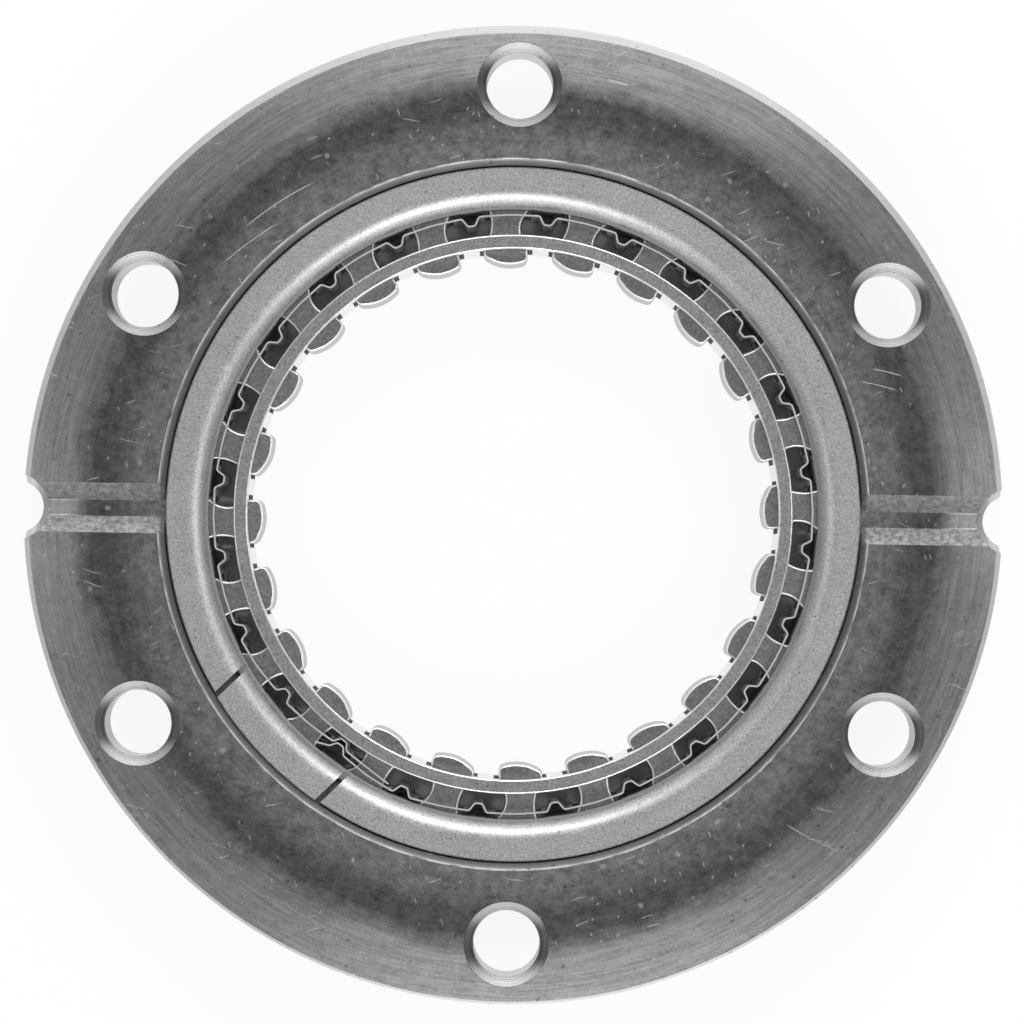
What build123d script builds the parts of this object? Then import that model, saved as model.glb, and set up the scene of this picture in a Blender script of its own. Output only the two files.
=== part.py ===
from build123d import *
import math
import os

# Sprag clutch: a flanged outer race with a double-caged ring of sprags inside it.
# Millimetres. +Z runs along the axis towards the face with the oil grooves, and the origin is
# on the axis at the back of the hub. Angles of the repeated features are given clockwise from
# the first bolt hole, which is at +Y, as they are seen from +Z.

# The races and the space between them
race_radius = 40.0
sprag_space = 8.33
sprag_count = 24
first_sprag_angle = 12.4

# The housing, whose bore is the outer race
rim_width = 21.25
flange_thickness = 9.5
hub_projection = 5.5
hub_wall = 6.5
hub_fillet = 1.2
edge_chamfer = 0.6
bore_chamfer = 0.7
race_lead_in = 1.0
rim_chamfer = 0.69
rim_chamfer_runout = 0.36

# The recess that the cage's flange turns in
recess_step = 3.7
recess_depth = 1.7
recess_chamfer = 0.8
recess_fillet = 0.15

# Bolt holes
bolt_count = 6
bolt_edge_distance = 7.5
bolt_hole_radius = 4.2
bolt_hole_chamfer = 1.1
bolt_hole_back_chamfer = 0.4

# Oil grooves in the front face, each with a half-round notch at the rim
groove_angles = (90.0, 270.0)
groove_width = 6.2
groove_flat = 1.9
groove_depth = 2.1
groove_fillet = 0.35
groove_reach = 1.0
notch_radius = 3.2
notch_depth = 2.25
notch_corner = 0.6
notch_flare = 0.9

# Outer cage: a pressed cup with a flange at the front and a turned-in lip at the back
cage_sheet = 1.2
cage_race_gap = 0.5
cage_flange_gap = 0.25
cage_floor_gap = 0.1
cage_bend = 1.4
cage_edge = 0.15
lip_bend = 0.6
lip_height = 1.2
lip_gap = 0.33

# The spring segment of the flange, between two parallel slots
drag_angle = 225.6
drag_half_width = 9.2
drag_slot = 0.7
drag_gap = 0.1
drag_slot_depth = 1.9

# Sprags
sprag_front_setback = 2.7
sprag_back_setback = 1.3
sprag_edge = 0.3
sprag_race_gap = 0.2
sprag_bite = 0.25
outer_cam_radius = 4.55
outer_cam_shift = -0.3
inner_cam_radius = 5.5
inner_cam_shift = 0.7
outer_head_left = -2.35
outer_head_right = 3.2
inner_head_left = -2.72
inner_head_right = 2.8
inner_head_height = 2.25
left_waist = -1.75
left_waist_drop = 2.15
right_waist = 2.0
right_waist_drop = 4.0
outer_corner = 0.35
inner_corner_left = 0.9
inner_corner_right = 0.8
neck_corner = 0.5

# Windows in both cages and in the ribbon, measured from the sprag's own centre line
window_end_gap = 0.25
outer_window_left = 0.45
outer_window_right = 0.55
inner_window_left = 0.5
inner_window_right = 0.65

# Inner cage
inner_cage_wall = 1.77
inner_cage_journal_gap = 1.63
inner_cage_front = 1.85
inner_cage_back = 1.95
inner_cage_edge = 0.25

# Ribbon spring: a thin strip with a wave in every gap, and ends that overlap
ribbon_thickness = 0.2
ribbon_rail = 0.85
ribbon_cage_gap = 0.6
ribbon_window = 5.9
ribbon_window_shift = 0.45
wave_angle = 6.5
wave_mouth_width = 2.2
wave_floor_width = 0.95
wave_bend = 0.45
wave_clearance = 1.36

# The ribbon's ends, which overlap with one wave nested in the other and leave the circle there
lap_angle = 203.9
lap_span_angle = 16.3
lap_wave_clearance = 0.28
inner_end_inward = 0.31
inner_nest_inward = 1.25
inner_return_angle = 28.0
outer_leave_angle = 26.0
outer_bulge_angle = 13.6
outer_bulge = 0.34
outer_nest_inward = 0.56
outer_end_outward = 0.25

# How far a cutter runs past the metal it cuts
overcut = 1.0

# Sizes that follow from those above
journal_radius = race_radius - sprag_space
housing_radius = race_radius + rim_width
bolt_circle_radius = housing_radius - bolt_edge_distance
recess_radius = race_radius + recess_step
housing_height = hub_projection + flange_thickness
hub_radius = race_radius + hub_wall
recess_floor = housing_height - recess_depth
sprag_pitch = 360.0 / sprag_count
cage_outer_radius = race_radius - cage_race_gap
cage_inner_radius = cage_outer_radius - cage_sheet
cage_underside = recess_floor + cage_floor_gap
cage_top = cage_underside + cage_sheet
lip_top = lip_height + cage_sheet
sprag_outer = race_radius - sprag_race_gap
sprag_tip = journal_radius - sprag_bite
sprag_bottom = lip_top + sprag_back_setback
sprag_top = cage_top - sprag_front_setback
window_bottom = sprag_bottom - window_end_gap
window_top = sprag_top + window_end_gap
flange_radius = recess_radius - cage_flange_gap
drag_radius = recess_radius - drag_gap
inner_cage_inner = journal_radius + inner_cage_journal_gap
inner_cage_outer = inner_cage_inner + inner_cage_wall
lip_radius = inner_cage_outer + lip_gap
ribbon_radius = cage_inner_radius - ribbon_cage_gap - ribbon_thickness / 2
wave_room = ribbon_radius - ribbon_thickness / 2 - inner_cage_outer
wave_depth = wave_room - wave_clearance
lap_wave_depth = wave_room - inner_nest_inward - lap_wave_clearance
first_wave_angle = first_sprag_angle - wave_angle
waves_to_lap = math.ceil((lap_angle - first_wave_angle) / sprag_pitch)
nest_angle = first_wave_angle + sprag_pitch * waves_to_lap
outer_end_angle = lap_angle + 360 + lap_span_angle


def rounded_face(corners, radii):
    """A flat face through the corners in order, each rounded to its own radius, 0 being sharp."""
    joins = []
    for index, corner in enumerate(corners):
        here = Vector(*corner)
        back = (Vector(*corners[index - 1]) - here).normalized()
        ahead = (Vector(*corners[(index + 1) % len(corners)]) - here).normalized()
        half = math.radians(back.get_angle(ahead)) / 2
        leg = radii[index] / math.tan(half)
        inward = (back + ahead).normalized() if radii[index] else Vector(0, 0)
        middle = here + inward * (radii[index] / math.sin(half) - radii[index])
        joins.append((here + back * leg, middle, here + ahead * leg))
    edges = []
    for index, (start, middle, end) in enumerate(joins):
        if radii[index]:
            edges.append(Edge.make_three_point_arc(start, middle, end))
        edges.append(Edge.make_line(end, joins[(index + 1) % len(joins)][0]))
    return Face(Wire(edges))


def turned(corners, radii):
    """The solid that a section of radius and height makes about the axis."""
    return revolve(Plane.XZ * rounded_face(corners, radii), Axis.Z)


def clockwise(angle, shape):
    """The shape, drawn at +Y, turned clockwise about the axis as seen from +Z."""
    return Rot(0, 0, -angle) * shape


def block(left, right, inner, outer, bottom, top):
    """A cutter at +Y: left and right across it, inner and outer along the radius."""
    size = (right - left, outer - inner, top - bottom)
    centre = ((left + right) / 2, (inner + outer) / 2, (bottom + top) / 2)
    return Pos(*centre) * Box(*size)


def sprag_angles():
    """The angle of every sprag's centre line."""
    return [first_sprag_angle + sprag_pitch * index for index in range(sprag_count)]


def housing_blank():
    """The turned body: hub, flange, race and recess, before any hole is cut."""
    corners = [
        (race_radius + bore_chamfer, 0),
        (hub_radius - edge_chamfer, 0),
        (hub_radius, edge_chamfer),
        (hub_radius, hub_projection),
        (housing_radius, hub_projection),
        (housing_radius, housing_height),
        (recess_radius + recess_chamfer, housing_height),
        (recess_radius, housing_height - recess_chamfer),
        (recess_radius, recess_floor),
        (race_radius + race_lead_in, recess_floor),
        (race_radius, recess_floor - race_lead_in),
        (race_radius, bore_chamfer),
    ]
    radii = [0, 0, 0, hub_fillet, 0, 0, 0, 0, recess_fillet, 0, 0, 0]
    return turned(corners, radii)


def rim_cutter(width, runout):
    """What a chamfer takes off the upper rim; the runout sets it off centre, towards -Y."""
    ring = Cylinder(housing_radius + 3 * width, 2 * width)
    cone = Cone(housing_radius + width, housing_radius - width, 2 * width)
    return Pos(0, -runout, housing_height - width) * (ring - cone)


def bolt_hole():
    """One through hole with its two countersinks, drawn at +Y."""
    wide = bolt_hole_radius + bolt_hole_chamfer
    back = bolt_hole_radius + bolt_hole_back_chamfer
    section = [
        (0, hub_projection - overcut),
        (back + overcut, hub_projection - overcut),
        (bolt_hole_radius, hub_projection + bolt_hole_back_chamfer),
        (bolt_hole_radius, housing_height - bolt_hole_chamfer),
        (wide + overcut, housing_height + overcut),
        (0, housing_height + overcut),
    ]
    return Pos(0, bolt_circle_radius, 0) * turned(section, [0] * len(section))


def oil_groove():
    """The sloping-sided channel from the recess out through the rim, drawn at +Y."""
    mouth = groove_width / 2
    flat = groove_flat / 2
    floor = housing_height - groove_depth
    above = housing_height + overcut
    corners = [
        (-mouth, above),
        (-mouth, housing_height),
        (-flat, floor),
        (flat, floor),
        (mouth, housing_height),
        (mouth, above),
    ]
    radii = [0, 0, groove_fillet, groove_fillet, 0, 0]
    start = recess_radius - groove_reach
    run = housing_radius + groove_reach - start
    section = Plane.XZ * rounded_face(corners, radii)
    return Pos(0, start, 0) * extrude(section, run, dir=(0, 1, 0))


def notch_opening():
    """Widens a rim notch down to the groove's floor and breaks its edge there, drawn at +Y."""
    floor = housing_height - groove_depth
    wide = notch_radius + notch_flare
    section = [
        (0, floor - notch_flare),
        (notch_radius, floor - notch_flare),
        (wide, floor),
        (wide, housing_height + overcut),
        (0, housing_height + overcut),
    ]
    return turned(section, [0] * len(section))


def housing():
    body = housing_blank()
    notch_centre = housing_radius - notch_depth + notch_radius
    notch = Pos(0, notch_centre, housing_height / 2) * Cylinder(notch_radius, 2 * housing_height)
    for angle in groove_angles:
        body -= clockwise(angle, notch)
    rim_edges = [
        edge
        for edge in body.edges().filter_by(Axis.Z)
        if math.hypot(edge.center().X, edge.center().Y) > housing_radius - notch_depth / 2
    ]
    body = fillet(rim_edges, notch_corner)
    body -= rim_cutter(rim_chamfer, rim_chamfer_runout)
    body -= Pos(0, 0, housing_height + hub_projection) * Rot(180, 0, 0) * rim_cutter(edge_chamfer, 0)
    for angle in groove_angles:
        body -= clockwise(angle, oil_groove())
        body -= clockwise(angle, Pos(0, notch_centre, 0) * notch_opening())
    for index in range(bolt_count):
        body -= clockwise(360.0 / bolt_count * index, bolt_hole())
    return body


def cage_windows(left, right, inner, outer):
    """The cutters for one window at every sprag."""
    window = block(left, right, inner, outer, window_bottom, window_top)
    return [clockwise(angle, window) for angle in sprag_angles()]


def cage_cup():
    """Pressed cup: flange, rolled shoulder, plain wall and turned-in lip."""
    corners = [
        (drag_radius, cage_top),
        (cage_inner_radius, cage_top),
        (cage_inner_radius, lip_top),
        (lip_radius, lip_top),
        (lip_radius, lip_height),
        (cage_outer_radius, lip_height),
        (cage_outer_radius, cage_underside),
        (drag_radius, cage_underside),
    ]
    shoulder = cage_bend + cage_sheet
    radii = [0, shoulder, lip_bend, 0, 0, lip_bend + cage_sheet, cage_bend, 0]
    return turned(corners, radii)


def outer_cage():
    """The cup with its sprung drag segment, the slots beside it and the windows."""
    middle = (cage_top + cage_underside) / 2
    trim = Cylinder(recess_radius + overcut, 2 * cage_sheet) - Cylinder(flange_radius, 2 * cage_sheet)
    reach = recess_radius + 2 * overcut
    segment = block(-drag_half_width, drag_half_width, race_radius, reach, -cage_sheet, cage_sheet)
    cup = cage_cup() - Pos(0, 0, middle) * (trim - clockwise(drag_angle, segment))
    slot_floor = cage_top - drag_slot_depth
    for side in (-drag_half_width, drag_half_width):
        slot = block(
            side - drag_slot / 2,
            side + drag_slot / 2,
            cage_inner_radius - overcut,
            recess_radius + overcut,
            slot_floor,
            cage_top + overcut,
        )
        cup -= clockwise(drag_angle, slot)
    top_edges = cup.edges().group_by(Axis.Z)[-1]
    rim = [edge for edge in top_edges if math.hypot((edge @ 0.5).X, (edge @ 0.5).Y) > flange_radius - cage_edge]
    cup = chamfer(rim, cage_edge)
    left = outer_head_left - outer_window_left
    right = outer_head_right + outer_window_right
    cup -= cage_windows(left, right, cage_inner_radius - overcut, cage_outer_radius + overcut)
    return cup


def inner_cage():
    """The inner sleeve, with rounded edges and a window at every sprag."""
    bottom = window_bottom - inner_cage_back
    top = window_top + inner_cage_front
    corners = [
        (inner_cage_inner, bottom),
        (inner_cage_outer, bottom),
        (inner_cage_outer, top),
        (inner_cage_inner, top),
    ]
    sleeve = turned(corners, [inner_cage_edge] * len(corners))
    left = inner_head_left - inner_window_left
    right = inner_head_right + inner_window_right
    return sleeve - cage_windows(left, right, inner_cage_inner - overcut, inner_cage_outer + overcut)


def on_circle(centre_x, centre_y, radius, x, side):
    """The point of a circle at x, on its upper side (1) or its lower side (-1)."""
    return (x, centre_y + side * math.sqrt(radius**2 - (x - centre_x) ** 2))


def sprag_profile():
    """The sprag's section at +Y: two offset cams joined by a waisted body."""
    outer_centre = sprag_outer - outer_cam_radius
    inner_centre = sprag_tip + inner_cam_radius
    outer_left = on_circle(outer_cam_shift, outer_centre, outer_cam_radius, outer_head_left, 1)
    outer_right = on_circle(outer_cam_shift, outer_centre, outer_cam_radius, outer_head_right, 1)
    inner_left = on_circle(inner_cam_shift, inner_centre, inner_cam_radius, inner_head_left, -1)
    inner_right = on_circle(inner_cam_shift, inner_centre, inner_cam_radius, inner_head_right, -1)
    neck = sprag_tip + inner_head_height
    edges = [
        Edge.make_three_point_arc(outer_left, (outer_cam_shift, sprag_outer), outer_right),
        Edge.make_three_point_arc(
            outer_right,
            (right_waist, sprag_outer - right_waist_drop),
            (inner_head_right, neck),
        ),
        Edge.make_line((inner_head_right, neck), inner_right),
        Edge.make_three_point_arc(inner_right, (inner_cam_shift, sprag_tip), inner_left),
        Edge.make_line(inner_left, (inner_head_left, neck)),
        Edge.make_three_point_arc(
            (inner_head_left, neck),
            (left_waist, sprag_outer - left_waist_drop),
            outer_left,
        ),
    ]
    return Face(Wire(edges))


def sprag():
    """One sprag at +Y: its section rounded at the corners, and the edges of both ends rounded."""
    section = sprag_profile()
    for vertex_x, vertex_y, radius in sprag_corners(section):
        nearest = section.vertices().sort_by_distance((vertex_x, vertex_y, 0))[0]
        section = section.fillet_2d(radius, [nearest])
    length = sprag_top - sprag_bottom
    body = Pos(0, 0, sprag_bottom) * extrude(section, length, dir=(0, 0, 1))
    ends = body.faces().filter_by(Axis.Z).edges()
    return fillet(ends, sprag_edge)


def sprag_corners(section):
    """Each corner of the sprag's section with the radius that rounds it."""
    found = []
    for vertex in section.vertices():
        upper = vertex.Y > (sprag_outer + sprag_tip) / 2
        tip = vertex.Y < sprag_tip + inner_head_height * 0.75
        if upper:
            radius = outer_corner
        elif tip and vertex.X < 0:
            radius = inner_corner_left
        elif tip:
            radius = inner_corner_right
        else:
            radius = neck_corner
        found.append((vertex.X, vertex.Y, radius))
    return found


def polar(angle, radius):
    """A point at an angle clockwise from +Y."""
    return Vector(radius * math.sin(math.radians(angle)), radius * math.cos(math.radians(angle)))


def ribbon_base(angle):
    """The ribbon's radius between its waves, on straight runs between a few stations."""
    stations = [
        (lap_angle, inner_end_inward),
        (nest_angle, inner_nest_inward),
        (nest_angle + inner_return_angle, 0),
        (nest_angle + 360 - outer_leave_angle, 0),
        (nest_angle + 360 - outer_bulge_angle, -outer_bulge),
        (nest_angle + 360, outer_nest_inward),
        (outer_end_angle, -outer_end_outward),
    ]
    for (start, before), (end, after) in zip(stations, stations[1:]):
        if angle <= end:
            break
    return ribbon_radius - before - (after - before) * (angle - start) / (end - start)


def ribbon_line():
    """The corners of the ribbon's centre line, from its inner end to its outer end."""
    points = [polar(lap_angle, ribbon_base(lap_angle))]
    turns = []
    angle = nest_angle
    mouth = math.degrees(wave_mouth_width / 2 / ribbon_radius)
    floor = math.degrees(wave_floor_width / 2 / ribbon_radius)
    while angle + mouth < outer_end_angle:
        base = ribbon_base(angle)
        nested = angle in (nest_angle, nest_angle + 360)
        depth = lap_wave_depth if nested else wave_depth
        points += [
            polar(angle - mouth, base),
            polar(angle - floor, base - depth),
            polar(angle + floor, base - depth),
            polar(angle + mouth, base),
        ]
        turns += [wave_bend] * 4
        halfway = angle + sprag_pitch / 2
        if halfway < outer_end_angle - mouth:
            points.append(polar(halfway, ribbon_base(halfway)))
            turns.append(ribbon_radius / 3)
        angle += sprag_pitch
    points.append(polar(outer_end_angle, ribbon_base(outer_end_angle)))
    return points, turns


def ribbon_outline():
    """The centre line thickened to both sides, with the bends kept parallel."""
    points, turns = ribbon_line()
    half = ribbon_thickness / 2
    sides = {1: [], -1: []}
    radii = {1: [], -1: []}
    for index, point in enumerate(points):
        before = points[max(index - 1, 0)]
        after = points[min(index + 1, len(points) - 1)]
        arriving = (point - before) if index else (after - point)
        leaving = (after - point) if index < len(points) - 1 else (point - before)
        arriving = arriving.normalized()
        leaving = leaving.normalized()
        normal = Vector(-arriving.Y - leaving.Y, arriving.X + leaving.X).normalized()
        miter = half / max(0.2, normal.dot(Vector(-leaving.Y, leaving.X)))
        bend = turns[index - 1] if 0 < index < len(points) - 1 else 0
        turn = arriving.X * leaving.Y - arriving.Y * leaving.X
        for side in (1, -1):
            sides[side].append(point + normal * (side * miter))
            radii[side].append(bend - half * side * math.copysign(1, turn) if bend else 0)
    corners = sides[1] + sides[-1][::-1]
    return [(corner.X, corner.Y) for corner in corners], radii[1] + radii[-1][::-1]


def ribbon_spring():
    """The formed strip: two rails joined by a waved crossbar in every gap between sprags."""
    bottom = window_bottom - ribbon_rail
    top = window_top + ribbon_rail
    outline = rounded_face(*ribbon_outline())
    strip = Pos(0, 0, bottom) * extrude(outline, top - bottom, dir=(0, 0, 1))
    left = ribbon_window_shift - ribbon_window / 2
    right = ribbon_window_shift + ribbon_window / 2
    inner = inner_cage_outer
    outer = cage_inner_radius
    return strip - cage_windows(left, right, inner, outer)


def main():
    os.makedirs("parts", exist_ok=True)
    export_step(housing(), "parts/housing.step")
    export_step(outer_cage(), "parts/outer_cage.step")
    export_step(inner_cage(), "parts/inner_cage.step")
    export_step(ribbon_spring(), "parts/ribbon_spring.step")
    one_sprag = sprag()
    for number, angle in enumerate(sprag_angles(), start=1):
        export_step(clockwise(angle, one_sprag), f"parts/sprag_{number:02d}.step")


main()
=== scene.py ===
import math

import bpy
from mathutils import Matrix, Vector


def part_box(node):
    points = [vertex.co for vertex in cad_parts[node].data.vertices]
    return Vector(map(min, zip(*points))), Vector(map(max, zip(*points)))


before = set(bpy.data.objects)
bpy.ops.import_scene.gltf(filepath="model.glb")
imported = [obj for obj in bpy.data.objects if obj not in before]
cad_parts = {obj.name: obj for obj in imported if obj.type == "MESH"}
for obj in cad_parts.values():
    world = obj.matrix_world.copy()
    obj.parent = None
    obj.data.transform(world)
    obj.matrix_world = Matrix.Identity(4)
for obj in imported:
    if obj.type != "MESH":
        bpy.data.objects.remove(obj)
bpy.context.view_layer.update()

# A sprag clutch seen straight down its axis. Lengths are metres in the scene and millimetres in
# the materials, whose patterns are worked out from where a point lies about the clutch's axis.

MM = 0.001

# Sizes of the clutch in mm, for the patterns and the framing
FACE_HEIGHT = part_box("housing")[1].z / MM
RIM_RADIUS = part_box("housing")[1].y / MM
BOLT_CIRCLE = 53.75
BOLT_COUNT = 6
BOLT_COUNTERSINK = 5.3
GROOVE_HALF_WIDTH = 3.2
GROOVE_DEPTH = 2.3
RECESS_EDGE = 44.5
INNER_CAGE_RADIUS = 35.0
CAGE_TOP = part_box("outer_cage")[1].z / MM

# How far from a face or an edge, in mm, a point still counts as on it
ON_FACE = 0.04
ON_EDGE = 0.09

# How far up a surface faces, from 1 for straight up: still flat, a bevel, a rounded edge
FLAT = 0.985
BEVELLED = 0.93
ROUNDED = 0.9

# Where the turned metal outside the bolt circle starts to be clean, and is all clean
CLEAN_STARTS = 52.8
CLEAN = 55.2

# The face, by radius in mm: mid grey inside, darkest in a band at the bolts, lighter clean metal
# outside
FACE_TONES = (
    (43.5, "#7e7e7e"),
    (46.5, "#7b7b7b"),
    (48.6, "#6e6e6e"),
    (50.2, "#5c5c5c"),
    (52.6, "#5a5a5a"),
    (54.0, "#828282"),
    (55.6, "#a8a8a8"),
    (61.5, "#bababa"),
)

# How far below its top, in mm, the outer cage's wall turns dull, and then is painted pale: painted
# light that lifts the shade down there
DULL_STARTS = 2.1
DULL = 3.2
PAINTED_LIGHT_STARTS = 5.0
PAINTED_LIGHT_FULL = 8.0

# Long scratches on the face, in mm: middle point, centre of the curve, width, length
SCRATCHES = (
    ((-30.0, 38.5), (-8.0, 6.0), 0.14, 11.0),
    ((-33.5, 33.5), (-2.0, -8.0), 0.12, 9.0),
    ((12.3, 54.2), (2.0, 10.0), 0.3, 3.0),
    ((46.5, 18.5), (40.0, -10.0), 0.14, 4.0),
    ((45.5, 16.8), (39.0, -12.0), 0.12, 5.0),
    ((38.0, -40.0), (60.0, 5.0), 0.12, 8.0),
)

# The photograph: 8 pixels to a millimetre at the front face, from 540 mm away
PICTURE_SIZE = 1024
PIXELS_PER_MM = 8.0
CAMERA_DISTANCE = 540.0
SENSOR_WIDTH = 36.0
AXIS_PIXEL = (513.1, 514.0)
PLUMB_PIXEL = (515.0, 555.0)
CAMERA_ROLL = 0.9

# The studio: how bright it looks overhead, at the walls, and more towards +Y and -Y; the sine of
# the elevation where the walls end and where the ceiling is fully dim
CEILING_LIGHT = 0.3
WALL_LIGHT = 0.33
WALL_LIGHT_Y = 0.75
WALLS_END = 0.25
CEILING_STARTS = 0.9

# How much of the bench, as the camera and the metal see it, is plain white and not lit by lamps
BENCH_WHITE = 0.9
BENCH_REACH = 3.0

# The lamps: azimuth clockwise from +Y and elevation in degrees, width and height in metres, and
# watts; all stand at the same distance
LAMP_DISTANCE = 1.2
LAMPS = {
    "top_softbox": (8, 44, 0.9, 0.4, 6.5),
    "bottom_softbox": (170, 44, 0.9, 0.4, 6.0),
    "right_strip_light": (86, 45, 0.12, 0.5, 1.6),
    "left_strip_light": (271, 45, 0.12, 0.5, 1.0),
}

# A colour mix's sockets: the amount and the two colours, or vectors; and its two results
AMOUNT, FIRST_VECTOR, SECOND_VECTOR, FIRST_COLOUR, SECOND_COLOUR = 0, 4, 5, 6, 7
MIXED_VECTOR, MIXED_COLOUR = 1, 2


def linear(hex_colour):
    """An sRGB hex value such as '#8a8a88' as linear red, green, blue and alpha."""
    channels = [int(hex_colour[i:i + 2], 16) / 255 for i in (1, 3, 5)]
    return [c / 12.92 if c <= 0.04045 else ((c + 0.055) / 1.055) ** 2.4 for c in channels] + [1.0]


def add(tree, kind, inputs=None, **settings):
    """One shader node with its settings. An input is set to a value, or linked to a socket or to
    a node's first output."""
    made = tree.nodes.new("ShaderNode" + kind)
    for name, value in settings.items():
        setattr(made, name, value)
    for socket, value in (inputs or {}).items():
        if isinstance(value, bpy.types.Node):
            value = value.outputs[0]
        if isinstance(value, bpy.types.NodeSocket):
            tree.links.new(value, made.inputs[socket])
        else:
            made.inputs[socket].default_value = value
    return made


def blank(name):
    """An empty material and its tree."""
    material = bpy.data.materials.new(name)
    material.use_nodes = True
    material.node_tree.nodes.clear()
    return material, material.node_tree


def place(tree):
    """Where a point lies, in mm: its vector, radius, angle clockwise from +Y, and height."""
    where = add(tree, "TexCoord").outputs["Object"]
    scaled = add(tree, "VectorMath", {0: where, "Scale": 1 / MM}, operation="SCALE")
    vector = scaled.outputs[0]
    parts = add(tree, "SeparateXYZ", {0: vector}).outputs
    squares = add(tree, "Math", {
        0: add(tree, "Math", {0: parts[0], 1: parts[0]}, operation="MULTIPLY"),
        1: add(tree, "Math", {0: parts[1], 1: parts[1]}, operation="MULTIPLY"),
    }, operation="ADD")
    radius = add(tree, "Math", {0: squares}, operation="SQRT")
    angle = add(tree, "Math", {0: parts[0], 1: parts[1]}, operation="ARCTAN2")
    return vector, radius, angle, parts[2]


def by_radius(tree, radius, stops):
    """A grey that changes with the radius; stops are pairs of mm and hex colour."""
    first, last = stops[0][0], stops[-1][0]
    along = add(tree, "Math", {
        0: add(tree, "Math", {0: radius, 1: first}, operation="SUBTRACT"),
        1: last - first,
    }, operation="DIVIDE")
    made = add(tree, "ValToRGB", {0: along})
    marks = made.color_ramp.elements
    while len(marks) < len(stops):
        marks.new(0.5)
    for mark, (distance, colour) in zip(marks, stops):
        mark.position = (distance - first) / (last - first)
        mark.color = linear(colour)
    return made.outputs[0]


def broken_rings(tree, vector, radius, spacing, length, detail=2.0):
    """Turning marks round the axis, spacing apart and broken every length or so, in mm."""
    round_axis = add(tree, "VectorMath", {0: vector, 1: (1.0, 1.0, 0.0)}, operation="MULTIPLY")
    outwards = add(tree, "VectorMath", {0: round_axis.outputs[0]}, operation="NORMALIZE")
    spread = add(tree, "VectorMath", {
        0: outwards.outputs[0],
        "Scale": BOLT_CIRCLE / length,
    }, operation="SCALE")
    parts = add(tree, "SeparateXYZ", {0: spread.outputs[0]}).outputs
    along = add(tree, "Math", {0: radius, 1: spacing}, operation="DIVIDE")
    where = add(tree, "CombineXYZ", {0: parts[0], 1: parts[1], 2: along})
    sockets = {"Vector": where, "Scale": 1.0, "Detail": detail, "Roughness": 0.6}
    return add(tree, "TexNoise", sockets).outputs["Fac"]


def nicks(tree, vector, turn, cell_length, cell_width, share):
    """Short straight handling marks in one direction, 1 on a mark; share of the cells have one."""
    sockets = {
        "Vector": vector,
        "Rotation": (0.0, 0.0, turn),
        "Scale": (cell_length, cell_width, 1.0),
    }
    turned = add(tree, "Mapping", sockets, vector_type="TEXTURE")
    sockets = {"Vector": turned, "Scale": 1.0}
    cells = add(tree, "TexVoronoi", sockets, voronoi_dimensions="2D")
    mark = add(tree, "Math", {0: cells.outputs["Distance"], 1: 0.11}, operation="LESS_THAN")
    chosen = add(tree, "SeparateColor", {0: cells.outputs["Color"]})
    return add(tree, "Math", {
        0: mark,
        1: add(tree, "Math", {0: chosen, 1: share}, operation="LESS_THAN"),
    }, operation="MULTIPLY")


def pits(tree, vector, cell, share):
    """Small round specks about a third as wide as a cell, in mm."""
    cells = add(tree, "TexVoronoi", {"Vector": vector, "Scale": 1.0 / cell})
    mark = add(tree, "MapRange", {
        "Value": cells.outputs["Distance"],
        "From Min": 0.2,
        "From Max": 0.1,
    }, interpolation_type="SMOOTHSTEP")
    chosen = add(tree, "SeparateColor", {0: cells.outputs["Color"]})
    return add(tree, "Math", {
        0: mark,
        1: add(tree, "Math", {0: chosen, 1: share}, operation="LESS_THAN"),
    }, operation="MULTIPLY")


def arc_scratch(tree, vector, middle, centre, width, length):
    """One long curved scratch: part of a circle about a centre, near its middle point, in mm."""
    level = add(tree, "VectorMath", {0: vector, 1: (1.0, 1.0, 0.0)}, operation="MULTIPLY")
    reach = math.dist(middle, centre)
    from_centre = add(tree, "VectorMath", {
        0: level,
        1: (*centre, 0.0),
    }, operation="DISTANCE").outputs["Value"]
    from_middle = add(tree, "VectorMath", {
        0: level,
        1: (*middle, 0.0),
    }, operation="DISTANCE").outputs["Value"]
    aside = add(tree, "Math", {
        0: add(tree, "Math", {0: from_centre, 1: reach}, operation="SUBTRACT"),
    }, operation="ABSOLUTE")
    line = add(tree, "Math", {0: aside, 1: width / 2}, operation="LESS_THAN")
    return add(tree, "Math", {
        0: line,
        1: add(tree, "MapRange", {
            "Value": from_middle,
            "From Min": length / 2,
            "From Max": length / 3,
        }, interpolation_type="SMOOTHSTEP"),
    }, operation="MULTIPLY")


def facing(tree):
    """Which way a surface faces, as x, y and z: its z is 1 on a flat face and 0 on a wall."""
    return add(tree, "SeparateXYZ", {0: add(tree, "TexCoord").outputs["Normal"]}).outputs


def finish_metal(tree, colour, roughness, normal, anisotropy=0.0, tangent=None, bare=1.0):
    """The metal's shader; a highlight stretches along the tangent, across the tool marks. An
    oily or dusty film leaves the metal less than fully bare."""
    sockets = {"Base Color": colour, "Metallic": bare, "Roughness": roughness, "Normal": normal}
    if tangent is not None:
        sockets["Anisotropic"] = anisotropy
        sockets["Tangent"] = tangent
    shader = add(tree, "BsdfPrincipled", sockets)
    add(tree, "OutputMaterial", {"Surface": shader.outputs[0]})


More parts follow.
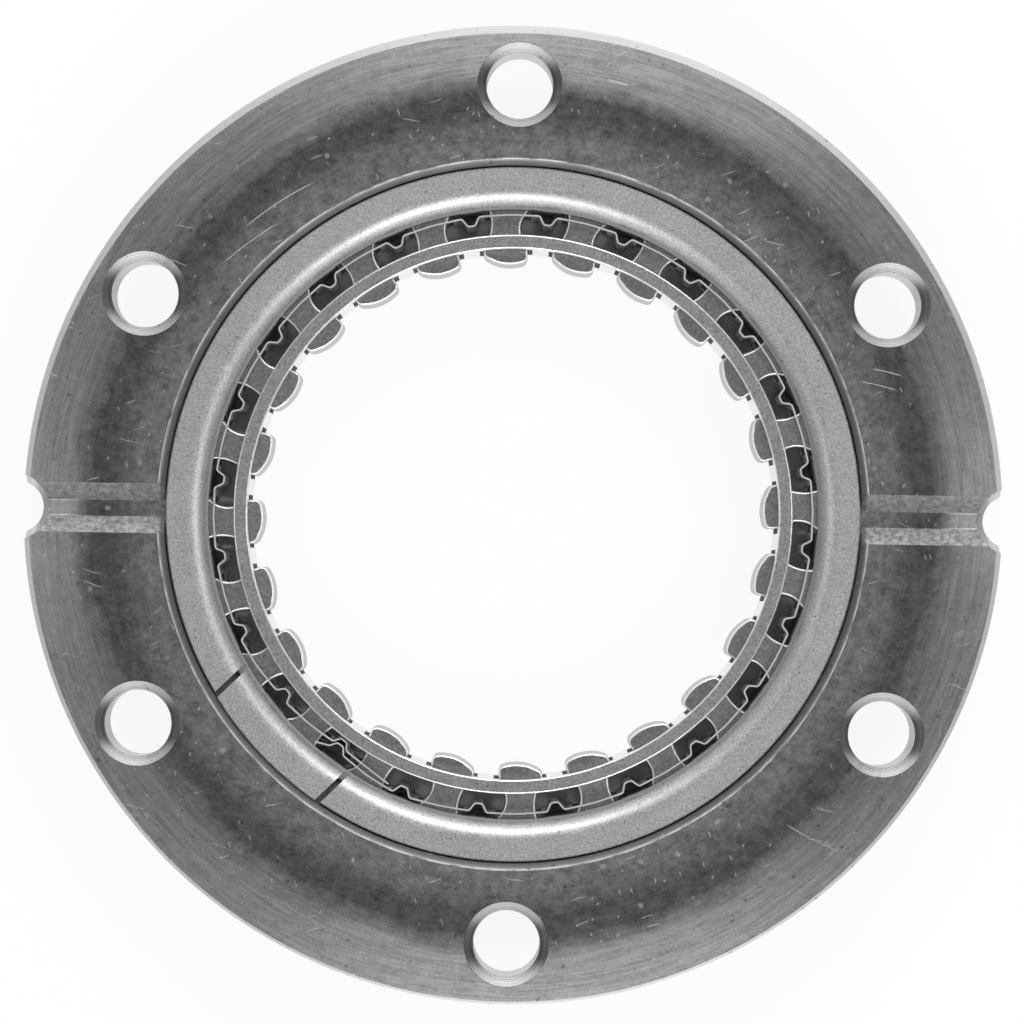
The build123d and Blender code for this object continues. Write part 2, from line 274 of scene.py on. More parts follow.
def across_turning_marks(tree, vector, angle):
    """The direction away from the axis that a surface was turned about, which is the clutch's, or
    a bolt hole's own inside its countersink. Then 1 inside a countersink, how far from the nearest
    hole's axis a point lies, and how far to its +Y or -Y side."""
    step = math.tau / BOLT_COUNT
    nearest = add(tree, "Math", {
        0: add(tree, "Math", {
            0: add(tree, "Math", {0: angle, 1: step}, operation="DIVIDE"),
        }, operation="ROUND"),
        1: step,
    }, operation="MULTIPLY")
    hole_x = add(tree, "Math", {
        0: add(tree, "Math", {0: nearest}, operation="SINE"),
        1: BOLT_CIRCLE,
    }, operation="MULTIPLY")
    hole_y = add(tree, "Math", {
        0: add(tree, "Math", {0: nearest}, operation="COSINE"),
        1: BOLT_CIRCLE,
    }, operation="MULTIPLY")
    hole = add(tree, "CombineXYZ", {0: hole_x, 1: hole_y, 2: 0.0})
    level = add(tree, "VectorMath", {0: vector, 1: (1.0, 1.0, 0.0)}, operation="MULTIPLY")
    offset = add(tree, "VectorMath", {0: level, 1: hole}, operation="SUBTRACT")
    distance = add(tree, "VectorMath", {0: offset}, operation="LENGTH").outputs["Value"]
    inside = add(tree, "Math", {0: distance, 1: BOLT_COUNTERSINK + ON_FACE}, operation="LESS_THAN")
    chosen = add(tree, "Mix", {
        AMOUNT: inside,
        FIRST_VECTOR: level,
        SECOND_VECTOR: offset,
    }, data_type="VECTOR").outputs[MIXED_VECTOR]
    turned = add(tree, "VectorTransform", {
        0: chosen,
    }, vector_type="VECTOR", convert_from="OBJECT", convert_to="WORLD")
    away = add(tree, "VectorMath", {0: turned}, operation="NORMALIZE")
    sideways = add(tree, "SeparateXYZ", {0: offset}).outputs[1]
    return away, inside, distance, add(tree, "Math", {0: sideways}, operation="ABSOLUTE")


def turned_hardened_steel():
    """Alloy steel turned on a lathe and then hardened: a matt mottled scale inside the bolt
    circle, and outside it fine broken rings on cleaner metal that spread highlights into fans.
    The rings are finer in the metal and are drawn 0.3 mm apart to show. Turned bevels, the rim's
    bevel painted lighter as a painted highlight, grainy groove slopes with painted shade on those
    that face -Y, countersinks painted light towards +Y and -Y and painted shade at their sides,
    and nicks and specks of handling."""
    material, tree = blank("turned_hardened_steel")
    vector, radius, angle, height = place(tree)
    _, faces_back, faces_up = facing(tree)
    away, in_countersink, from_hole, from_hole_y = across_turning_marks(tree, vector, angle)

    # Walls, and the slopes of bevels and grooves
    wall = add(tree, "MapRange", {
        "Value": faces_up,
        "From Min": 0.35,
        "From Max": 0.1,
    }, interpolation_type="SMOOTHSTEP")
    towards_back = add(tree, "SeparateXYZ", {0: vector}).outputs[1]
    in_groove = add(tree, "Math", {
        0: add(tree, "Math", {0: towards_back}, operation="ABSOLUTE"),
        1: GROOVE_HALF_WIDTH,
    }, operation="LESS_THAN")
    in_groove = add(tree, "Math", {
        0: in_groove,
        1: add(tree, "Math", {0: height, 1: FACE_HEIGHT - ON_FACE}, operation="LESS_THAN"),
    }, operation="MULTIPLY")
    in_groove = add(tree, "Math", {
        0: in_groove,
        1: add(tree, "Math", {0: height, 1: FACE_HEIGHT - GROOVE_DEPTH}, operation="GREATER_THAN"),
    }, operation="MULTIPLY")
    bevelled = add(tree, "Math", {
        0: add(tree, "MapRange", {
            "Value": faces_up,
            "From Min": FLAT,
            "From Max": BEVELLED,
        }, interpolation_type="SMOOTHSTEP"),
        1: add(tree, "Math", {0: 1.0, 1: in_groove}, operation="SUBTRACT"),
    }, operation="MULTIPLY")
    sloped = add(tree, "Math", {
        0: bevelled,
        1: add(tree, "Math", {
            0: add(tree, "MapRange", {
                "Value": faces_up,
                "From Min": 0.86,
                "From Max": 0.76,
            }, interpolation_type="SMOOTHSTEP"),
            1: in_groove,
        }, operation="MULTIPLY"),
    }, operation="MAXIMUM")

    # The flat face. A pattern's scale is 1 over its size in mm
    patches = add(tree, "TexNoise", {
        "Vector": vector,
        "Scale": 1.0 / 8.0,
        "Detail": 3.0,
        "Roughness": 0.6,
    })
    blotches = add(tree, "TexNoise", {
        "Vector": vector,
        "Scale": 1.0 / 1.3,
        "Detail": 5.0,
        "Roughness": 0.75,
    })
    grain = add(tree, "TexNoise", {
        "Vector": vector,
        "Scale": 1.0 / 0.3,
        "Detail": 2.0,
        "Roughness": 0.7,
    })
    fine = broken_rings(tree, vector, radius, 0.3, 6.0)
    coarse = broken_rings(tree, vector, radius, 1.0, 16.0)
    wandering = add(tree, "Math", {
        0: patches,
        1: 3.0,
        2: add(tree, "Math", {0: radius, 1: 1.5}, operation="SUBTRACT"),
    }, operation="MULTIPLY_ADD")
    clean = add(tree, "MapRange", {
        "Value": wandering,
        "From Min": CLEAN_STARTS,
        "From Max": CLEAN,
    }, interpolation_type="SMOOTHSTEP")
    ground = by_radius(tree, wandering, FACE_TONES)

    ringed = add(tree, "Math", {
        0: fine,
        1: 1.0,
        2: add(tree, "Math", {0: coarse, 1: 0.4}, operation="MULTIPLY"),
    }, operation="MULTIPLY_ADD")
    ringed = add(tree, "Math", {
        0: add(tree, "Math", {0: ringed, 1: 0.7}, operation="SUBTRACT"),
        1: add(tree, "Math", {0: clean, 1: 0.3, 2: 0.3}, operation="MULTIPLY_ADD"),
    }, operation="MULTIPLY")
    scaly = add(tree, "Math", {
        0: add(tree, "Math", {0: blotches, 1: 0.5}, operation="SUBTRACT"),
        1: add(tree, "Math", {0: clean, 1: -1.0, 2: 1.5}, operation="MULTIPLY_ADD"),
    }, operation="MULTIPLY")
    uneven = add(tree, "Math", {
        0: add(tree, "Math", {0: ringed, 1: scaly}, operation="ADD"),
        1: 0.5,
    }, operation="ADD")
    uneven = add(tree, "Math", {
        0: grain,
        1: 0.4,
        2: add(tree, "Math", {0: uneven, 1: 0.2}, operation="SUBTRACT"),
    }, operation="MULTIPLY_ADD")
    strength = add(tree, "Math", {0: uneven, 1: 1.5, 2: 0.25}, operation="MULTIPLY_ADD")
    colour = add(tree, "VectorMath", {0: ground, "Scale": strength}, operation="SCALE")

    # Bevels, countersinks and grooves
    bevel = add(tree, "Mix", {
        AMOUNT: fine,
        FIRST_COLOUR: linear("#888888"),
        SECOND_COLOUR: linear("#c4c4c4"),
    }, data_type="RGBA").outputs[MIXED_COLOUR]
    # Painted highlight: the bevel at the rim is painted lighter
    at_rim = add(tree, "MapRange", {
        "Value": radius,
        "From Min": RIM_RADIUS - 2.0,
        "From Max": RIM_RADIUS - 1.0,
    }, interpolation_type="SMOOTHSTEP")
    bevel = add(tree, "Mix", {
        AMOUNT: add(tree, "Math", {0: at_rim, 1: 0.5}, operation="MULTIPLY"),
        FIRST_COLOUR: bevel,
        SECOND_COLOUR: linear("#f6f6f6"),
    }, data_type="RGBA").outputs[MIXED_COLOUR]
    drill_marks = add(tree, "TexNoise", {
        "W": from_hole,
        "Scale": 4.0,
        "Detail": 2.0,
    }, noise_dimensions="1D").outputs["Fac"]
    stepped = add(tree, "MapRange", {
        "Value": drill_marks,
        "From Min": 0.35,
        "From Max": 0.65,
    }, interpolation_type="SMOOTHSTEP")
    # Countersinks: a lit copy towards +Y and -Y and a copy in painted shade at their sides,
    # painted light and shade
    cut = add(tree, "Mix", {
        AMOUNT: stepped,
        FIRST_COLOUR: linear("#d8d8d8"),
        SECOND_COLOUR: linear("#fafafa"),
    }, data_type="RGBA").outputs[MIXED_COLOUR]
    cut_in_painted_shade = add(tree, "Mix", {
        AMOUNT: stepped,
        FIRST_COLOUR: linear("#6c6c6c"),
        SECOND_COLOUR: linear("#b0b0b0"),
    }, data_type="RGBA").outputs[MIXED_COLOUR]
    countersunk = add(tree, "Mix", {
        AMOUNT: add(tree, "MapRange", {
            "Value": from_hole_y,
            "From Min": 1.6,
            "From Max": 3.6,
        }, interpolation_type="SMOOTHSTEP"),
        FIRST_COLOUR: cut_in_painted_shade,
        SECOND_COLOUR: cut,
    }, data_type="RGBA").outputs[MIXED_COLOUR]
    bevel = add(tree, "Mix", {
        AMOUNT: in_countersink,
        FIRST_COLOUR: bevel,
        SECOND_COLOUR: countersunk,
    }, data_type="RGBA").outputs[MIXED_COLOUR]
    slope_grain = add(tree, "TexNoise", {
        "Vector": vector,
        "Scale": 1.0 / 0.65,
        "Detail": 5.0,
        "Roughness": 0.7,
    })
    groove = add(tree, "Mix", {
        AMOUNT: add(tree, "MapRange", {
            "Value": slope_grain,
            "From Min": 0.3,
            "From Max": 0.7,
        }, interpolation_type="SMOOTHSTEP"),
        FIRST_COLOUR: linear("#909090"),
        SECOND_COLOUR: linear("#d4d4d4"),
    }, data_type="RGBA").outputs[MIXED_COLOUR]
    # Painted shade: groove slopes that face -Y are painted darker
    painted_shade_side = add(tree, "Math", {
        0: add(tree, "Math", {0: faces_back, 1: 0.0}, operation="LESS_THAN"),
        1: 0.5,
    }, operation="MULTIPLY")
    groove = add(tree, "Mix", {
        AMOUNT: painted_shade_side,
        FIRST_COLOUR: groove,
        SECOND_COLOUR: linear("#6a6a6a"),
    }, data_type="RGBA").outputs[MIXED_COLOUR]
    slope = add(tree, "Mix", {
        AMOUNT: in_groove,
        FIRST_COLOUR: bevel,
        SECOND_COLOUR: groove,
    }, data_type="RGBA").outputs[MIXED_COLOUR]
    near_recess = add(tree, "MapRange", {
        "Value": radius,
        "From Min": RECESS_EDGE - 0.1,
        "From Max": RECESS_EDGE - 0.35,
    }, interpolation_type="SMOOTHSTEP")
    slope = add(tree, "Mix", {
        AMOUNT: add(tree, "Math", {0: near_recess, 1: 0.55}, operation="MULTIPLY"),
        FIRST_COLOUR: slope,
        SECOND_COLOUR: linear("#4c4c4c"),
    }, data_type="RGBA").outputs[MIXED_COLOUR]
    colour = add(tree, "Mix", {
        AMOUNT: sloped,
        FIRST_COLOUR: colour,
        SECOND_COLOUR: slope,
    }, data_type="RGBA").outputs[MIXED_COLOUR]

    # A painted highlight along the corner of the recess, broken here and there, and the dull walls
    broken = add(tree, "Math", {
        0: add(tree, "MapRange", {
            "Value": add(tree, "TexNoise", {
                "Vector": vector,
                "Scale": 1.0 / 2.5,
                "Detail": 4.0,
                "Roughness": 0.6,
            }),
            "From Min": 0.3,
            "From Max": 0.6,
        }, interpolation_type="SMOOTHSTEP"),
        1: 0.75,
    }, operation="MULTIPLY")
    corner = add(tree, "Math", {
        0: add(tree, "Math", {
            0: add(tree, "Math", {0: radius, 1: RECESS_EDGE}, operation="SUBTRACT"),
        }, operation="ABSOLUTE"),
        1: ON_EDGE,
    }, operation="LESS_THAN")
    corner = add(tree, "Math", {
        0: corner,
        1: add(tree, "Math", {0: 1.0, 1: in_groove}, operation="SUBTRACT"),
    }, operation="MULTIPLY")
    colour = add(tree, "Mix", {
        AMOUNT: add(tree, "Math", {0: corner, 1: broken}, operation="MULTIPLY"),
        FIRST_COLOUR: colour,
        SECOND_COLOUR: linear("#f4f4f4"),
    }, data_type="RGBA").outputs[MIXED_COLOUR]
    colour = add(tree, "Mix", {
        AMOUNT: add(tree, "Math", {0: wall, 1: 0.5}, operation="MULTIPLY"),
        FIRST_COLOUR: colour,
        SECOND_COLOUR: linear("#909090"),
    }, data_type="RGBA").outputs[MIXED_COLOUR]

    # Handling: nicks, scratches, pale and dark specks
    level_face = add(tree, "Math", {0: 1.0, 1: sloped}, operation="SUBTRACT")
    sway = add(tree, "TexNoise", {"Vector": vector, "Scale": 0.35, "Detail": 1.0}).outputs["Color"]
    bent = add(tree, "VectorMath", {0: vector, 1: sway}, operation="ADD")
    handled = add(tree, "MapRange", {
        "Value": add(tree, "TexNoise", {
            "Vector": vector,
            "Scale": 1.0 / 9.0,
            "Detail": 2.0,
            "Roughness": 0.6,
        }),
        "From Min": 0.4,
        "From Max": 0.56,
    }, interpolation_type="SMOOTHSTEP")
    marks = nicks(tree, bent, 0.35, 8.0, 0.7, 0.08)
    marks = add(tree, "Math", {
        0: marks,
        1: nicks(tree, bent, 2.9, 12.0, 0.6, 0.06),
    }, operation="MAXIMUM")
    marks = add(tree, "Math", {
        0: marks,
        1: nicks(tree, bent, 1.9, 3.5, 0.8, 0.08),
    }, operation="MAXIMUM")
    marks = add(tree, "Math", {
        0: marks,
        1: nicks(tree, bent, 1.0, 1.8, 1.0, 0.1),
    }, operation="MAXIMUM")
    marks = add(tree, "Math", {
        0: marks,
        1: add(tree, "Math", {0: handled, 1: 0.5, 2: 0.1}, operation="MULTIPLY_ADD"),
    }, operation="MULTIPLY")
    for middle, centre, width, length in SCRATCHES:
        marks = add(tree, "Math", {
            0: marks,
            1: arc_scratch(tree, vector, middle, centre, width, length),
        }, operation="MAXIMUM")
    marks = add(tree, "Math", {0: marks, 1: level_face}, operation="MULTIPLY")
    colour = add(tree, "Mix", {
        AMOUNT: add(tree, "Math", {0: marks, 1: 0.6}, operation="MULTIPLY"),
        FIRST_COLOUR: colour,
        SECOND_COLOUR: linear("#e4e4e4"),
    }, data_type="RGBA").outputs[MIXED_COLOUR]
    pale = add(tree, "Math", {
        0: pits(tree, bent, 2.4, 0.3),
        1: add(tree, "Math", {0: 1.0, 1: clean}, operation="SUBTRACT"),
    }, operation="MULTIPLY")
    colour = add(tree, "Mix", {
        AMOUNT: add(tree, "Math", {
            0: pale,
            1: add(tree, "Math", {0: handled, 1: 0.4}, operation="MULTIPLY"),
        }, operation="MULTIPLY"),
        FIRST_COLOUR: colour,
        SECOND_COLOUR: linear("#c8c8c8"),
    }, data_type="RGBA").outputs[MIXED_COLOUR]
    specks = add(tree, "Math", {
        0: pits(tree, vector, 0.8, 0.2),
        1: pits(tree, bent, 1.5, 0.15),
    }, operation="MAXIMUM")
    colour = add(tree, "Mix", {
        AMOUNT: add(tree, "Math", {0: specks, 1: 0.4}, operation="MULTIPLY"),
        FIRST_COLOUR: colour,
        SECOND_COLOUR: linear("#1c1c1c"),
    }, data_type="RGBA").outputs[MIXED_COLOUR]

    # Gloss and relief: rings across which highlights stretch, and none of them in the grooves
    roughness = add(tree, "Math", {0: clean, 1: -0.16, 2: 0.46}, operation="MULTIPLY_ADD")
    roughness = add(tree, "Math", {0: grain, 1: 0.1, 2: roughness}, operation="MULTIPLY_ADD")
    roughness = add(tree, "Math", {0: in_groove, 1: 0.2, 2: roughness}, operation="MULTIPLY_ADD")
    roughness = add(tree, "Math", {
        0: in_countersink,
        1: -0.08,
        2: roughness,
    }, operation="MULTIPLY_ADD")
    anisotropy = add(tree, "Math", {0: clean, 1: 0.65, 2: 0.1}, operation="MULTIPLY_ADD")
    isotropic = add(tree, "Math", {
        0: in_groove,
        1: add(tree, "Math", {0: in_countersink, 1: 0.8}, operation="MULTIPLY"),
    }, operation="MAXIMUM")
    anisotropy = add(tree, "Math", {
        0: anisotropy,
        1: add(tree, "Math", {0: 1.0, 1: isotropic}, operation="SUBTRACT"),
    }, operation="MULTIPLY")
    raised = add(tree, "Bump", {"Height": fine, "Distance": 0.012 * MM, "Strength": 0.5})
    raised = add(tree, "Bump", {
        "Height": grain,
        "Distance": 0.012 * MM,
        "Strength": 0.5,
        "Normal": raised,
    })
    raised = add(tree, "Bump", {
        "Height": marks,
        "Distance": 0.02 * MM,
        "Strength": 0.6,
        "Normal": raised,
    })
    raised = add(tree, "Bump", {
        "Height": add(tree, "Math", {0: drill_marks, 1: in_countersink}, operation="MULTIPLY"),
        "Distance": 0.03 * MM,
        "Strength": 0.6,
        "Normal": raised,
    })
    finish_metal(tree, colour, roughness, raised, anisotropy, away)
    return material


def tumbled_pressed_steel():
    """Sheet steel pressed and tumbled: a pale sandy grain with no direction, dark specks where
    the tumbling missed, and a wall that is duller down inside and painted pale lower down, painted
    light that lifts the shade there."""
    material, tree = blank("tumbled_pressed_steel")
    vector, _, _, height = place(tree)
    grain = add(tree, "TexNoise", {
        "Vector": vector,
        "Scale": 1.0 / 0.24,
        "Detail": 3.0,
        "Roughness": 0.85,
    })
    patches = add(tree, "TexNoise", {
        "Vector": vector,
        "Scale": 1.0 / 3.5,
        "Detail": 3.0,
        "Roughness": 0.6,
    })
    tone = add(tree, "Math", {
        0: add(tree, "MapRange", {
            "Value": grain,
            "From Min": 0.3,
            "From Max": 0.7,
        }, interpolation_type="SMOOTHSTEP"),
        1: 0.75,
        2: add(tree, "Math", {0: patches, 1: 0.3}, operation="MULTIPLY"),
    }, operation="MULTIPLY_ADD")
    colour = add(tree, "Mix", {
        AMOUNT: tone,
        FIRST_COLOUR: linear("#9a9a9a"),
        SECOND_COLOUR: linear("#e2e2e2"),
    }, data_type="RGBA").outputs[MIXED_COLOUR]
    specks = pits(tree, vector, 0.9, 0.22)
    colour = add(tree, "Mix", {
        AMOUNT: add(tree, "Math", {0: specks, 1: 0.5}, operation="MULTIPLY"),
        FIRST_COLOUR: colour,
        SECOND_COLOUR: linear("#3a3a3a"),
    }, data_type="RGBA").outputs[MIXED_COLOUR]
    inside = add(tree, "MapRange", {
        "Value": height,
        "From Min": CAGE_TOP - DULL_STARTS,
        "From Max": CAGE_TOP - DULL,
    }, interpolation_type="SMOOTHSTEP")
    inside = add(tree, "Math", {
        0: inside,
        1: add(tree, "MapRange", {
            "Value": facing(tree)[2],
            "From Min": 0.6,
            "From Max": 0.2,
        }, interpolation_type="SMOOTHSTEP"),
    }, operation="MAXIMUM")
    colour = add(tree, "Mix", {
        AMOUNT: add(tree, "Math", {0: inside, 1: 0.75}, operation="MULTIPLY"),
        FIRST_COLOUR: colour,
        SECOND_COLOUR: linear("#b4b4b4"),
    }, data_type="RGBA").outputs[MIXED_COLOUR]
    roughness = add(tree, "Math", {0: grain, 1: 0.25, 2: 0.31}, operation="MULTIPLY_ADD")
    roughness = add(tree, "Math", {0: inside, 1: 0.2, 2: roughness}, operation="MULTIPLY_ADD")
    # Painted light: the wall is painted pale lower down, to lift the shade there
    painted_light_low = add(tree, "MapRange", {
        "Value": height,
        "From Min": CAGE_TOP - PAINTED_LIGHT_STARTS,
        "From Max": CAGE_TOP - PAINTED_LIGHT_FULL,
    }, interpolation_type="SMOOTHSTEP")
    colour = add(tree, "Mix", {
        AMOUNT: painted_light_low,
        FIRST_COLOUR: colour,
        SECOND_COLOUR: linear("#f0f0f0"),
    }, data_type="RGBA").outputs[MIXED_COLOUR]
    bare = add(tree, "Math", {0: inside, 1: -0.8, 2: 1.0}, operation="MULTIPLY_ADD")
    bare = add(tree, "Math", {0: painted_light_low, 1: -0.2, 2: bare}, operation="MULTIPLY_ADD", use_clamp=True)
    finish_metal(
        tree,
        colour,
        roughness,
        add(tree, "Bump", {"Height": grain, "Distance": 0.02 * MM, "Strength": 0.6}),
        bare=bare,
    )
    return material


def satin_cage_steel():
    """Pressed steel with a satin finish, the inner sleeve: a mottled mid-grey face, a painted
    highlight along its rounded edges, and its outside painted pale, painted light that lifts the
    shade there."""
    material, tree = blank("satin_cage_steel")
    vector, radius, _, _ = place(tree)
    grain = add(tree, "TexNoise", {
        "Vector": vector,
        "Scale": 1.0 / 0.35,
        "Detail": 4.0,
        "Roughness": 0.75,
    })
    spots = add(tree, "TexNoise", {
        "Vector": vector,
        "Scale": 1.0 / 1.5,
        "Detail": 3.0,
        "Roughness": 0.6,
    })
    tone = add(tree, "Math", {
        0: add(tree, "MapRange", {
            "Value": grain,
            "From Min": 0.3,
            "From Max": 0.7,
        }, interpolation_type="SMOOTHSTEP"),
        1: 0.5,
        2: add(tree, "Math", {0: spots, 1: 0.5}, operation="MULTIPLY"),
    }, operation="MULTIPLY_ADD")
    colour = add(tree, "Mix", {
        AMOUNT: tone,
        FIRST_COLOUR: linear("#848484"),
        SECOND_COLOUR: linear("#ececec"),
    }, data_type="RGBA").outputs[MIXED_COLOUR]
    specks = pits(tree, vector, 0.9, 0.25)
    colour = add(tree, "Mix", {
        AMOUNT: add(tree, "Math", {0: specks, 1: 0.4}, operation="MULTIPLY"),
        FIRST_COLOUR: colour,
        SECOND_COLOUR: linear("#3a3a3a"),
    }, data_type="RGBA").outputs[MIXED_COLOUR]
    faces_up = facing(tree)[2]
    # Painted highlight: faces that turn from flat towards the rounded edges are painted near white
    rounded = add(tree, "MapRange", {
        "Value": faces_up,
        "From Min": FLAT,
        "From Max": ROUNDED,
    }, interpolation_type="SMOOTHSTEP")
    colour = add(tree, "Mix", {
        AMOUNT: rounded,
        FIRST_COLOUR: colour,
        SECOND_COLOUR: linear("#f4f4f4"),
    }, data_type="RGBA").outputs[MIXED_COLOUR]
    # Painted light: the sideways-facing outside is painted pale, to lift the shade between the
    # cages
    outside = add(tree, "Math", {
        0: add(tree, "Math", {0: radius, 1: INNER_CAGE_RADIUS}, operation="GREATER_THAN"),
        1: add(tree, "MapRange", {
            "Value": faces_up,
            "From Min": 0.3,
            "From Max": 0.1,
        }, interpolation_type="SMOOTHSTEP"),
    }, operation="MULTIPLY")
    colour = add(tree, "Mix", {
        AMOUNT: outside,
        FIRST_COLOUR: colour,
        SECOND_COLOUR: linear("#f0f0f0"),
    }, data_type="RGBA").outputs[MIXED_COLOUR]
    bare = add(tree, "Math", {0: outside, 1: -0.9, 2: 1.0}, operation="MULTIPLY_ADD")
    roughness = add(tree, "Math", {0: grain, 1: 0.2, 2: 0.24}, operation="MULTIPLY_ADD")
    finish_metal(
        tree,
        colour,
        roughness,
        add(tree, "Bump", {"Height": grain, "Distance": 0.02 * MM, "Strength": 0.6}),
        bare=bare,
    )
    return material


def tumbled_bearing_steel():
    """Sprags of bearing steel: dull cropped ends, a painted highlight on the rounded edges,
    polished cams.
    """
    material, tree = blank("tumbled_bearing_steel")
    vector = place(tree)[0]
    grain = add(tree, "TexNoise", {
        "Vector": vector,
        "Scale": 1.0 / 0.4,
        "Detail": 4.0,
        "Roughness": 0.7,
    })
    colour = add(tree, "Mix", {
        AMOUNT: add(tree, "MapRange", {
            "Value": grain,
            "From Min": 0.3,
            "From Max": 0.7,
        }, interpolation_type="SMOOTHSTEP"),
        FIRST_COLOUR: linear("#8a8a8a"),
        SECOND_COLOUR: linear("#adadad"),
    }, data_type="RGBA").outputs[MIXED_COLOUR]
    faces_up = facing(tree)[2]
    # Painted highlight: the rounded edges are painted near white and made less metallic
    edges = add(tree, "Math", {
        0: add(tree, "MapRange", {
            "Value": faces_up,
            "From Min": FLAT,
            "From Max": ROUNDED,
        }, interpolation_type="SMOOTHSTEP"),
        1: add(tree, "MapRange", {
            "Value": faces_up,
            "From Min": 0.05,
            "From Max": 0.3,
        }, interpolation_type="SMOOTHSTEP"),
    }, operation="MULTIPLY")
    colour = add(tree, "Mix", {
        AMOUNT: edges,
        FIRST_COLOUR: colour,
        SECOND_COLOUR: linear("#fcfcfc"),
    }, data_type="RGBA").outputs[MIXED_COLOUR]
    sides = add(tree, "MapRange", {
        "Value": faces_up,
        "From Min": 0.2,
        "From Max": 0.02,
    }, interpolation_type="SMOOTHSTEP")
    colour = add(tree, "Mix", {
        AMOUNT: sides,
        FIRST_COLOUR: colour,
        SECOND_COLOUR: linear("#b4b4b4"),
    }, data_type="RGBA").outputs[MIXED_COLOUR]
    roughness = add(tree, "Math", {0: grain, 1: 0.2, 2: 0.28}, operation="MULTIPLY_ADD")
    bare = add(tree, "Math", {0: edges, 1: -0.5, 2: 1.0}, operation="MULTIPLY_ADD")
    finish_metal(
        tree,
        colour,
        roughness,
        add(tree, "Bump", {"Height": grain, "Distance": 0.012 * MM, "Strength": 0.5}),
        bare=bare,
    )
    return material


def bright_spring_strip():
    """Rolled spring strip: slit edges that catch the light above duller rolled sides."""
    material, tree = blank("bright_spring_strip")
    vector = place(tree)[0]
    grain = add(tree, "TexNoise", {
        "Vector": vector,
        "Scale": 1.0 / 0.5,
        "Detail": 4.0,
        "Roughness": 0.6,
    })
    sides = add(tree, "Mix", {
        AMOUNT: grain,
        FIRST_COLOUR: linear("#c0c0c0"),
        SECOND_COLOUR: linear("#dcdcdc"),
    }, data_type="RGBA").outputs[MIXED_COLOUR]
    edge = add(tree, "MapRange", {
        "Value": facing(tree)[2],
        "From Min": 0.3,
        "From Max": 0.7,
    }, interpolation_type="SMOOTHSTEP")
    colour = add(tree, "Mix", {
        AMOUNT: edge,
        FIRST_COLOUR: sides,
        SECOND_COLOUR: linear("#e4e4e4"),
    }, data_type="RGBA").outputs[MIXED_COLOUR]
    roughness = add(tree, "Math", {0: grain, 1: 0.2, 2: 0.34}, operation="MULTIPLY_ADD")
    finish_metal(
        tree,
        colour,
        roughness,
        add(tree, "Bump", {"Height": grain, "Distance": 0.006 * MM, "Strength": 0.3}),
    )
    return material


def dress(material, nodes):
    """Puts a finish on CAD pieces."""
    for name in nodes:
        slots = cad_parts[name].material_slots
        for slot in slots:
            slot.material = material


SPRAGS = sorted(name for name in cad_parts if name.startswith("sprag_"))
dress(turned_hardened_steel(), ["housing"])
dress(tumbled_pressed_steel(), ["outer_cage"])
dress(satin_cage_steel(), ["inner_cage"])
dress(bright_spring_strip(), ["ribbon_spring"])
dress(tumbled_bearing_steel(), SPRAGS)


def floor():
    """A white bench that the camera sees almost evenly white, with a faint shadow."""
    mesh = bpy.data.meshes.new("bench")
    signs = ((-1, -1), (1, -1), (1, 1), (-1, 1))
    corners = [(x * BENCH_REACH, y * BENCH_REACH, 0) for x, y in signs]
    mesh.from_pydata(corners, [], [(0, 1, 2, 3)])
    bench = bpy.data.objects.new("bench", mesh)
    bpy.context.scene.collection.objects.link(bench)
    material, tree = blank("white_bench")
    lit = add(tree, "BsdfDiffuse", {"Color": linear("#f4f4f4")})
    glow = add(tree, "Emission", {"Color": linear("#ffffff"), "Strength": 1.0})
    seen = add(tree, "LightPath")
    direct = add(tree, "Math", {
        0: seen.outputs["Is Camera Ray"],
        1: seen.outputs["Is Glossy Ray"],
    }, operation="MAXIMUM")
    direct = add(tree, "Math", {
        0: direct,
        1: seen.outputs["Is Transmission Ray"],
    }, operation="MAXIMUM")
    share = add(tree, "Math", {0: direct, 1: BENCH_WHITE}, operation="MULTIPLY")
    mixed = add(tree, "MixShader", {0: share, 1: lit.outputs[0], 2: glow.outputs[0]})
    add(tree, "OutputMaterial", {"Surface": mixed.outputs[0]})
    mesh.materials.append(material)


def softbox(name, azimuth, elevation, width, height, watts):
    """A soft light aimed at the clutch."""
    data = bpy.data.lights.new(name, "AREA")
    data.shape = "RECTANGLE"
    data.size = width
    data.size_y = height
    data.energy = watts
    lamp = bpy.data.objects.new(name, data)
    turn, rise = math.radians(azimuth), math.radians(elevation)
    level = math.cos(rise)
    direction = Vector((math.sin(turn) * level, math.cos(turn) * level, math.sin(rise)))
    lamp.location = direction * LAMP_DISTANCE
    lamp.rotation_euler = direction.to_track_quat("Z", "Y").to_euler()
    bpy.context.scene.collection.objects.link(lamp)


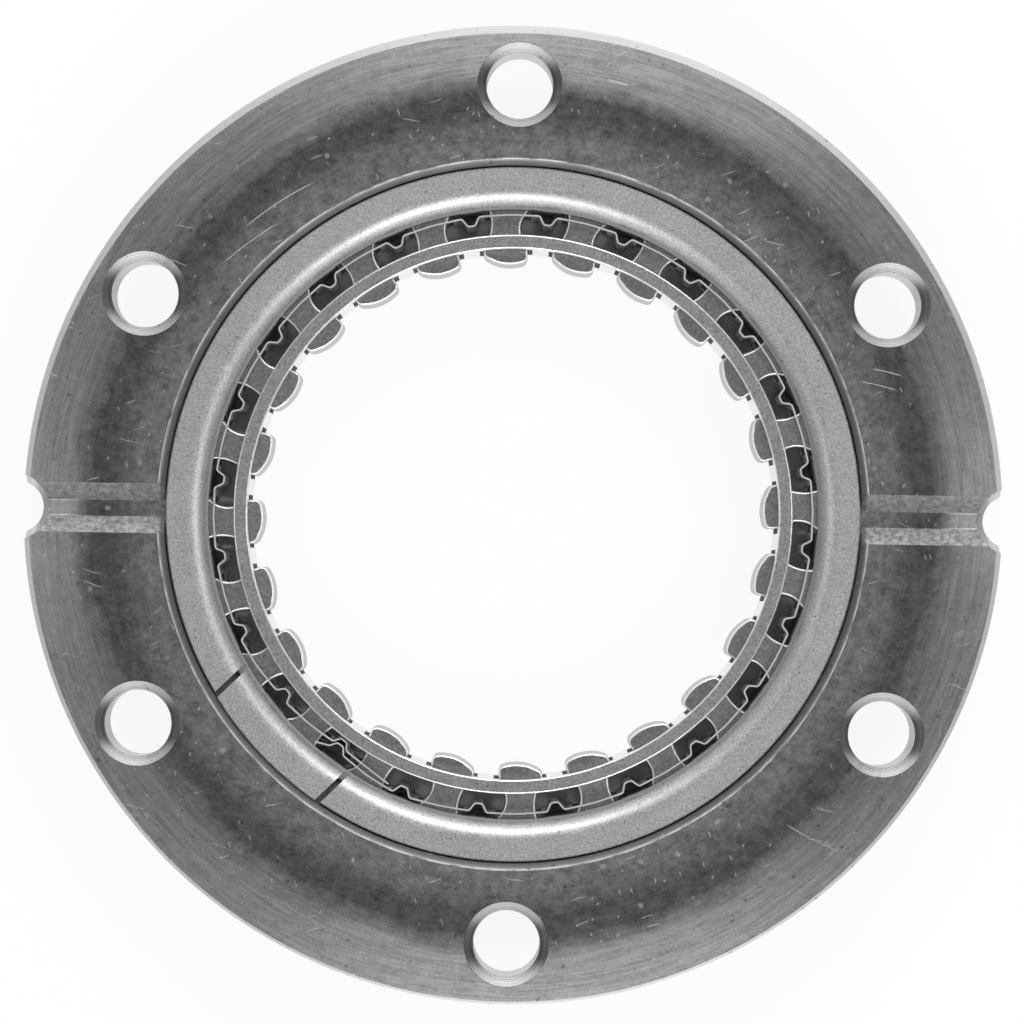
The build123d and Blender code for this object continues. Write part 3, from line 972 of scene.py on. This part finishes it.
def surroundings():
    """A studio whose ceiling is dim and whose walls are bright, most of all to the front and the
    back of the clutch, as the metal reflects it; behind the bench the camera sees white."""
    world = bpy.data.worlds.new("studio")
    bpy.context.scene.world = world
    world.use_nodes = True
    tree = world.node_tree
    tree.nodes.clear()
    direction = add(tree, "TexCoord").outputs["Generated"]
    parts = add(tree, "SeparateXYZ", {0: direction}).outputs
    low_down = add(tree, "MapRange", {
        "Value": parts[2],
        "From Min": CEILING_STARTS,
        "From Max": WALLS_END,
    }, interpolation_type="SMOOTHSTEP")
    along_y = add(tree, "Math", {0: parts[1], 1: parts[1]}, operation="MULTIPLY")
    walls = add(tree, "Math", {
        0: along_y,
        1: WALL_LIGHT_Y,
        2: WALL_LIGHT,
    }, operation="MULTIPLY_ADD")
    level = add(tree, "Math", {
        0: low_down,
        1: add(tree, "Math", {0: walls, 1: CEILING_LIGHT}, operation="SUBTRACT"),
        2: CEILING_LIGHT,
    }, operation="MULTIPLY_ADD")
    reflected = add(tree, "Background", {"Color": linear("#ffffff"), "Strength": level})
    white = add(tree, "Background", {"Color": linear("#ffffff"), "Strength": 1.0})
    seen = add(tree, "LightPath").outputs["Is Camera Ray"]
    mixed = add(tree, "MixShader", {0: seen, 1: reflected.outputs[0], 2: white.outputs[0]})
    add(tree, "OutputWorld", {"Surface": mixed.outputs[0]})


def camera():
    """Over the front face, with the clutch's axis and the point straight below the lens where
    the photograph has them."""
    centre = PICTURE_SIZE / 2
    aim = Vector(
        (
            (centre - AXIS_PIXEL[0]) / PIXELS_PER_MM,
            (AXIS_PIXEL[1] - centre) / PIXELS_PER_MM,
            FACE_HEIGHT,
        )
    )
    plumb = Vector(
        (
            (PLUMB_PIXEL[0] - AXIS_PIXEL[0]) / PIXELS_PER_MM,
            (AXIS_PIXEL[1] - PLUMB_PIXEL[1]) / PIXELS_PER_MM,
            FACE_HEIGHT + CAMERA_DISTANCE,
        )
    )
    back = (plumb - aim).normalized()
    roll = math.radians(CAMERA_ROLL)
    up = Vector((-math.sin(roll), math.cos(roll), 0))
    right = up.cross(back).normalized()
    up = back.cross(right)
    data = bpy.data.cameras.new("camera")
    data.sensor_width = SENSOR_WIDTH
    data.lens = PIXELS_PER_MM * CAMERA_DISTANCE * SENSOR_WIDTH / PICTURE_SIZE
    data.clip_start = 0.01
    data.clip_end = 20.0
    eye = bpy.data.objects.new("camera", data)
    eye.matrix_world = Matrix(
        (
            (right.x, up.x, back.x, plumb.x * MM),
            (right.y, up.y, back.y, plumb.y * MM),
            (right.z, up.z, back.z, plumb.z * MM),
            (0, 0, 0, 1),
        )
    )
    bpy.context.scene.collection.objects.link(eye)
    bpy.context.scene.camera = eye


floor()
surroundings()
for name, settings in LAMPS.items():
    softbox(name, *settings)
camera()
bpy.context.scene.view_settings.view_transform = "Standard"
